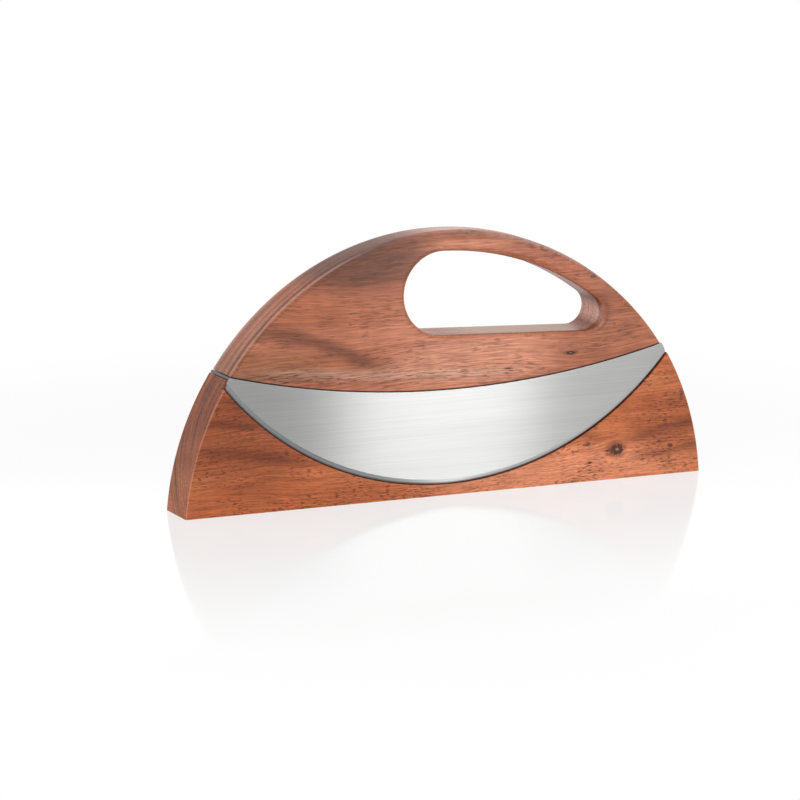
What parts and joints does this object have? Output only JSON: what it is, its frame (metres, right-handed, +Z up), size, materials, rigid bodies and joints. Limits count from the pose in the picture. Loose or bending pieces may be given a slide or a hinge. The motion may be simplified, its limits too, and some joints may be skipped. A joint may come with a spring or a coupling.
{
  "type": "mezzaluna with stand",
  "caption": "Half-round herb chopping knife with a crescent steel blade and a grip hole, parked in a wooden stand that takes up its cutting edge.",
  "frame": {"origin": "middle of the stand's foot, on the table", "axes": "+X to the right along the blade as seen from the front, +Y to the rear through the thickness, +Z up"},
  "size_m": [0.28, 0.024, 0.13],
  "materials": {
    "stand_wood": "oiled reddish-brown hardwood, satin",
    "handle_wood": "oiled pinkish-brown hardwood, satin",
    "brushed_steel": "stainless sheet, fine lengthwise brushing",
    "screw_steel": "plain stainless screws"
  },
  "bodies": {
    "stand": {"stand": "stand_wood"},
    "knife": {"handle": "handle_wood", "blade": "brushed_steel", "tang_plate": "brushed_steel", "tang_screw_1": "screw_steel", "tang_screw_2": "screw_steel", "tang_screw_3": "screw_steel", "tang_screw_4": "screw_steel"}
  },
  "joints": [
    {"name": "knife_lift", "type": "slide", "parent": "stand", "child": "knife", "axis": [0, 0, 1], "range_m": [0, 0.08]}
  ]
}
